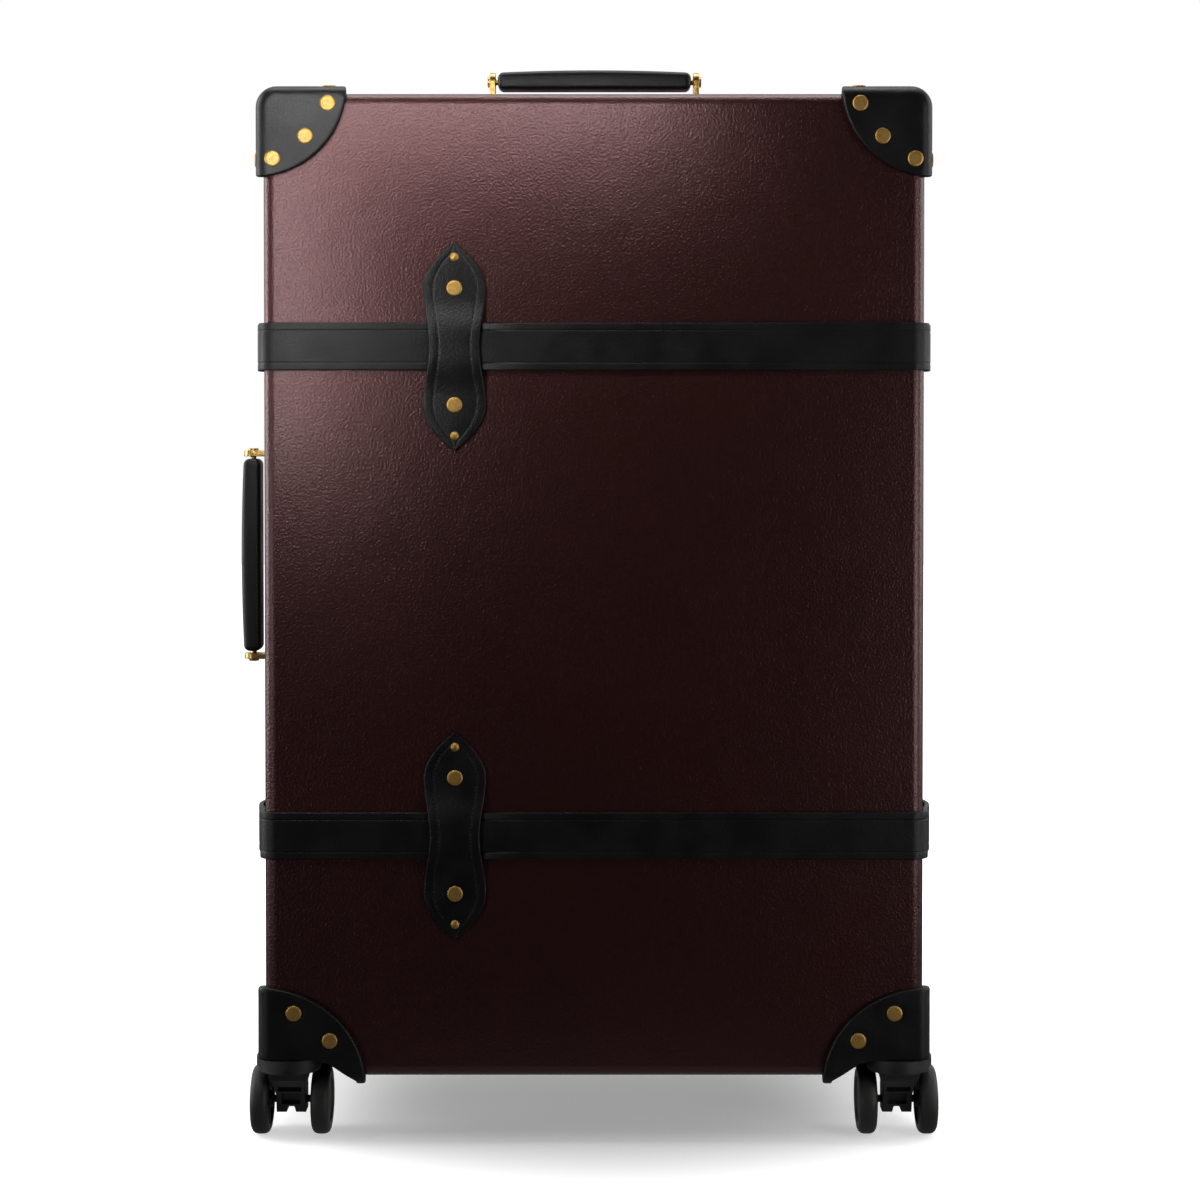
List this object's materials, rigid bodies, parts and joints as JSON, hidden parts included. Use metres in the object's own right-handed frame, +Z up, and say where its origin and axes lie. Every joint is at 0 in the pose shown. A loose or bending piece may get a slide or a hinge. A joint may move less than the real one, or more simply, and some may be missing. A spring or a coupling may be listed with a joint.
{
  "type": "wardrobe trunk",
  "caption": "Upright travel trunk in oxblood fibre board with black leather corners and straps, brass rivets, two carrying handles, a pull handle and twin-wheel casters.",
  "frame": {"origin": "on the floor, straight below the middle of the closed case", "axes": "+Z up along the case's height, +Y from the lid at the front to the rear, +X to the right"},
  "size_m": [0.583, 0.317, 0.883],
  "materials": {
    "fibre_board": "satin, pebbled vulcanised fibre",
    "rim_aluminium": "satin",
    "lining_cloth": "matt woven cotton",
    "webbing": "matt webbing",
    "black_leather": "semi-gloss bridle leather",
    "brass": "polished",
    "black_plastic": "matt",
    "tube_steel": "brushed",
    "wheel_rubber": "matt"
  },
  "bodies": {
    "base": {"base_shell": "fibre_board", "base_frame": "rim_aluminium", "base_lining": "lining_cloth", "packing_straps": "webbing", "base_corner_top_left": "black_leather", "base_corner_top_right": "black_leather", "base_corner_bottom_left": "black_leather", "base_corner_bottom_right": "black_leather", "base_rivets": "brass", "base_keepers": "black_leather", "base_straps": "black_leather", "hinge_leaves_base": "brass", "hinge_pins": "brass", "lock_bodies": "brass", "top_handle_lugs": "brass", "side_handle_lugs": "brass", "trolley_cup": "black_plastic", "trolley_outer_tubes": "tube_steel", "rear_caster_mounts": "black_plastic"},
    "lid": {"lid_shell": "fibre_board", "lid_frame": "rim_aluminium", "lid_lining": "lining_cloth", "lid_pocket": "lining_cloth", "lid_corner_top_left": "black_leather", "lid_corner_top_right": "black_leather", "lid_corner_bottom_left": "black_leather", "lid_corner_bottom_right": "black_leather", "lid_rivets": "brass", "lid_keepers": "black_leather", "lid_straps": "black_leather", "hinge_leaves_lid": "brass", "lock_catches": "brass", "front_caster_mounts": "black_plastic"},
    "top_handle": {"top_handle_grip": "black_leather"},
    "side_handle": {"side_handle_grip": "black_leather"},
    "pull_middle": {"trolley_middle_tubes": "tube_steel"},
    "pull_inner": {"trolley_inner_tubes": "tube_steel", "trolley_grip": "black_plastic"},
    "pull_button": {"trolley_button": "brass"},
    "hasp_upper": {"lock_hasp_upper": "brass"},
    "lock_button_upper": {"lock_button_upper": "brass"},
    "buckle_upper": {"buckle_frame_upper": "brass"},
    "prong_upper": {"buckle_prong_upper": "brass"},
    "hasp_lower": {"lock_hasp_lower": "brass"},
    "lock_button_lower": {"lock_button_lower": "brass"},
    "buckle_lower": {"buckle_frame_lower": "brass"},
    "prong_lower": {"buckle_prong_lower": "brass"},
    "caster_front_left": {"caster_fork_front_left": "black_plastic"},
    "wheel_front_left_outer": {"wheel_front_left_outer": "wheel_rubber"},
    "wheel_front_left_inner": {"wheel_front_left_inner": "wheel_rubber"},
    "caster_front_right": {"caster_fork_front_right": "black_plastic"},
    "wheel_front_right_inner": {"wheel_front_right_inner": "wheel_rubber"},
    "wheel_front_right_outer": {"wheel_front_right_outer": "wheel_rubber"},
    "caster_rear_left": {"caster_fork_rear_left": "black_plastic"},
    "wheel_rear_left_outer": {"wheel_rear_left_outer": "wheel_rubber"},
    "wheel_rear_left_inner": {"wheel_rear_left_inner": "wheel_rubber"},
    "caster_rear_right": {"caster_fork_rear_right": "black_plastic"},
    "wheel_rear_right_inner": {"wheel_rear_right_inner": "wheel_rubber"},
    "wheel_rear_right_outer": {"wheel_rear_right_outer": "wheel_rubber"}
  },
  "joints": [
    {"name": "lid_open", "type": "hinge", "parent": "base", "child": "lid", "pos_m": [0.27, -0.0305, 0.4485], "axis": [0, 0, 1], "range_deg": [0, 100]},
    {"name": "top_handle_swing", "type": "hinge", "parent": "base", "child": "top_handle", "pos_m": [0, 0.02, 0.8735], "axis": [1, 0, 0], "range_deg": [-90, 90]},
    {"name": "side_handle_swing", "type": "hinge", "parent": "base", "child": "side_handle", "pos_m": [-0.295, 0.02, 0.466], "axis": [0, 0, 1], "range_deg": [-90, 90]},
    {"name": "pull_lower_stage", "type": "slide", "parent": "base", "child": "pull_middle", "axis": [0, 0, 1], "range_m": [0, 0.14]},
    {"name": "pull_upper_stage", "type": "slide", "parent": "pull_middle", "child": "pull_inner", "axis": [0, 0, 1], "range_m": [0, 0.14]},
    {"name": "pull_button_press", "type": "slide", "parent": "pull_inner", "child": "pull_button", "axis": [0, 0, -1], "range_m": [0, 0.003], "stiffness_N_per_m": 400},
    {"name": "hasp_upper_open", "type": "hinge", "parent": "base", "child": "hasp_upper", "pos_m": [-0.2709, -0.0215, 0.74675], "axis": [0, 0, -1], "range_deg": [0, 95]},
    {"name": "lock_button_upper_slide", "type": "slide", "parent": "base", "child": "lock_button_upper", "axis": [0, 1, 0], "range_m": [0, 0.006], "stiffness_N_per_m": 300},
    {"name": "buckle_upper_lift", "type": "hinge", "parent": "base", "child": "buckle_upper", "pos_m": [-0.2693, 0.0455, 0.641], "axis": [0, 0, -1], "range_deg": [0, 25]},
    {"name": "prong_upper_lift", "type": "hinge", "parent": "buckle_upper", "child": "prong_upper", "pos_m": [-0.2693, 0.0455, 0.641], "axis": [0, 0, -1], "range_deg": [0, 45]},
    {"name": "hasp_lower_open", "type": "hinge", "parent": "base", "child": "hasp_lower", "pos_m": [-0.2709, -0.0215, 0.14675], "axis": [0, 0, -1], "range_deg": [0, 95]},
    {"name": "lock_button_lower_slide", "type": "slide", "parent": "base", "child": "lock_button_lower", "axis": [0, 1, 0], "range_m": [0, 0.006], "stiffness_N_per_m": 300},
    {"name": "buckle_lower_lift", "type": "hinge", "parent": "base", "child": "buckle_lower", "pos_m": [-0.2693, 0.0455, 0.249], "axis": [0, 0, -1], "range_deg": [0, 25]},
    {"name": "prong_lower_lift", "type": "hinge", "parent": "buckle_lower", "child": "prong_lower", "pos_m": [-0.2693, 0.0455, 0.249], "axis": [0, 0, -1], "range_deg": [0, 45]},
    {"name": "caster_front_left_swivel", "type": "hinge", "parent": "lid", "child": "caster_front_left", "pos_m": [-0.2465, -0.124, 0.055], "axis": [0, 0, 1], "continuous": true},
    {"name": "wheel_front_left_outer_roll", "type": "hinge", "parent": "caster_front_left", "child": "wheel_front_left_outer", "pos_m": [-0.271, -0.11, 0.028], "axis": [1, 0, 0], "continuous": true},
    {"name": "wheel_front_left_inner_roll", "type": "hinge", "parent": "caster_front_left", "child": "wheel_front_left_inner", "pos_m": [-0.222, -0.11, 0.028], "axis": [1, 0, 0], "continuous": true},
    {"name": "caster_front_right_swivel", "type": "hinge", "parent": "lid", "child": "caster_front_right", "pos_m": [0.2465, -0.124, 0.055], "axis": [0, 0, 1], "continuous": true},
    {"name": "wheel_front_right_inner_roll", "type": "hinge", "parent": "caster_front_right", "child": "wheel_front_right_inner", "pos_m": [0.222, -0.11, 0.028], "axis": [1, 0, 0], "continuous": true},
    {"name": "wheel_front_right_outer_roll", "type": "hinge", "parent": "caster_front_right", "child": "wheel_front_right_outer", "pos_m": [0.271, -0.11, 0.028], "axis": [1, 0, 0], "continuous": true},
    {"name": "caster_rear_left_swivel", "type": "hinge", "parent": "base", "child": "caster_rear_left", "pos_m": [-0.2465, 0.124, 0.055], "axis": [0, 0, 1], "continuous": true},
    {"name": "wheel_rear_left_outer_roll", "type": "hinge", "parent": "caster_rear_left", "child": "wheel_rear_left_outer", "pos_m": [-0.271, 0.138, 0.028], "axis": [1, 0, 0], "continuous": true},
    {"name": "wheel_rear_left_inner_roll", "type": "hinge", "parent": "caster_rear_left", "child": "wheel_rear_left_inner", "pos_m": [-0.222, 0.138, 0.028], "axis": [1, 0, 0], "continuous": true},
    {"name": "caster_rear_right_swivel", "type": "hinge", "parent": "base", "child": "caster_rear_right", "pos_m": [0.2465, 0.124, 0.055], "axis": [0, 0, 1], "continuous": true},
    {"name": "wheel_rear_right_inner_roll", "type": "hinge", "parent": "caster_rear_right", "child": "wheel_rear_right_inner", "pos_m": [0.222, 0.138, 0.028], "axis": [1, 0, 0], "continuous": true},
    {"name": "wheel_rear_right_outer_roll", "type": "hinge", "parent": "caster_rear_right", "child": "wheel_rear_right_outer", "pos_m": [0.271, 0.138, 0.028], "axis": [1, 0, 0], "continuous": true}
  ]
}
